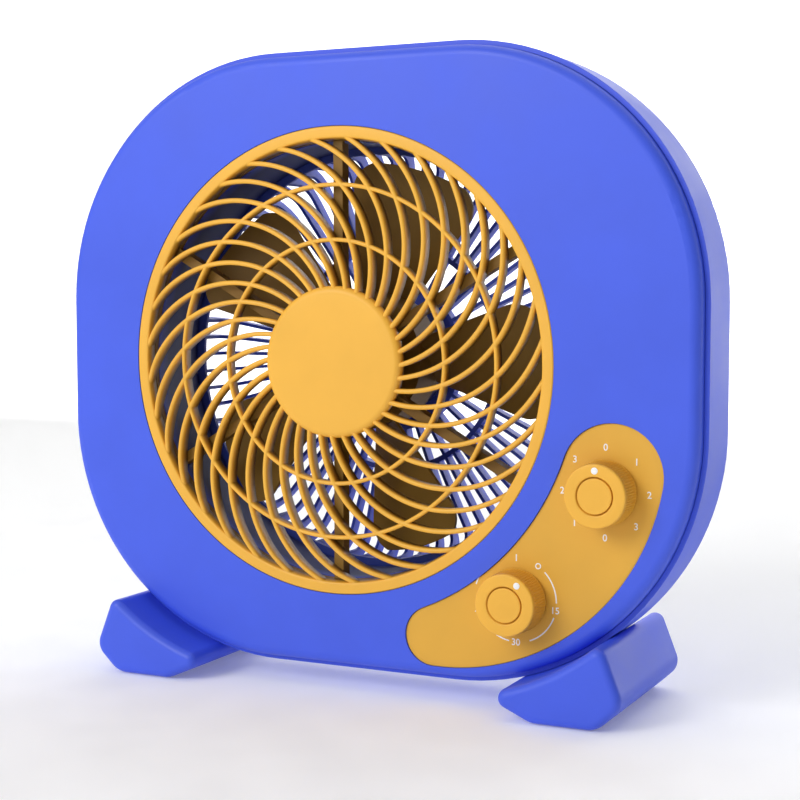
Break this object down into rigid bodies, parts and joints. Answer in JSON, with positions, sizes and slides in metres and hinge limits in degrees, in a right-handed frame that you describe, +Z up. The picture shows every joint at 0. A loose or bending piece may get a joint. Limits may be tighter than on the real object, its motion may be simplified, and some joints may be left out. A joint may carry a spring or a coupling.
{
  "type": "box fan",
  "caption": "Rounded box fan on two soft feet, with a slowly turning spiral front grille, a paddle-bladed impeller, a slatted rear grille and two control knobs.",
  "frame": {"origin": "on the floor, under the middle of the object's box", "axes": "+Z up, the front grille and knobs face -Y, +X to the right seen from the front"},
  "size_m": [0.407, 0.113, 0.3715],
  "materials": {
    "blue_plastic": "fine satin moulded",
    "yellow_plastic": "fine satin moulded",
    "black_rubber": "matte",
    "zinc_steel": "zinc plated",
    "shaft_steel": "ground",
    "motor_steel": "rolled sheet",
    "motor_alloy": "die cast",
    "copper_wire": "enamelled wire",
    "bearing_bronze": "sintered",
    "black_plastic": "matte",
    "white_plastic": "satin"
  },
  "bodies": {
    "housing": {"front_shell": "blue_plastic", "rear_shell": "blue_plastic", "rear_grille": "blue_plastic", "left_foot": "blue_plastic", "right_foot": "blue_plastic", "left_foot_pad": "black_rubber", "right_foot_pad": "black_rubber", "cord_inlet": "black_rubber", "foot_screws": "zinc_steel", "shell_screws": "zinc_steel", "rear_grille_screws": "zinc_steel", "spider_screws": "zinc_steel", "motor_screws": "zinc_steel", "control_nuts": "zinc_steel", "control_panel": "yellow_plastic", "spider": "yellow_plastic", "grille_motor": "motor_steel", "motor_front_bell": "motor_alloy", "motor_rear_bell": "motor_alloy", "stator_core": "motor_steel", "stator_winding": "copper_wire", "front_bearing": "bearing_bronze", "rear_bearing": "bearing_bronze", "capacitor": "black_plastic", "terminal_block": "white_plastic", "rotary_switch": "black_plastic", "timer_movement": "motor_steel"},
    "impeller": {"impeller": "yellow_plastic", "impeller_nut": "black_plastic", "motor_shaft": "shaft_steel", "rotor_core": "motor_steel"},
    "front_grille": {"front_grille": "yellow_plastic", "hub_cap": "yellow_plastic", "grille_shaft": "white_plastic", "grille_screw": "zinc_steel"},
    "speed_knob": {"speed_knob": "yellow_plastic", "speed_knob_cap": "yellow_plastic", "speed_spindle": "white_plastic"},
    "timer_knob": {"timer_knob": "yellow_plastic", "timer_knob_cap": "yellow_plastic", "timer_spindle": "shaft_steel"}
  },
  "joints": [
    {"name": "impeller_spin", "type": "hinge", "parent": "housing", "child": "impeller", "pos_m": [-0.0156, 0, 0.1915], "axis": [0, 1, 0], "continuous": true},
    {"name": "grille_spin", "type": "hinge", "parent": "housing", "child": "front_grille", "pos_m": [-0.0156, 0, 0.1915], "axis": [0, 1, 0], "continuous": true},
    {"name": "speed_turn", "type": "hinge", "parent": "housing", "child": "speed_knob", "pos_m": [0.1494, 0, 0.1248], "axis": [0, 1, 0], "continuous": true},
    {"name": "timer_turn", "type": "hinge", "parent": "housing", "child": "timer_knob", "pos_m": [0.0984, 0, 0.0622], "axis": [0, 1, 0], "range_deg": [-33, 292]}
  ]
}
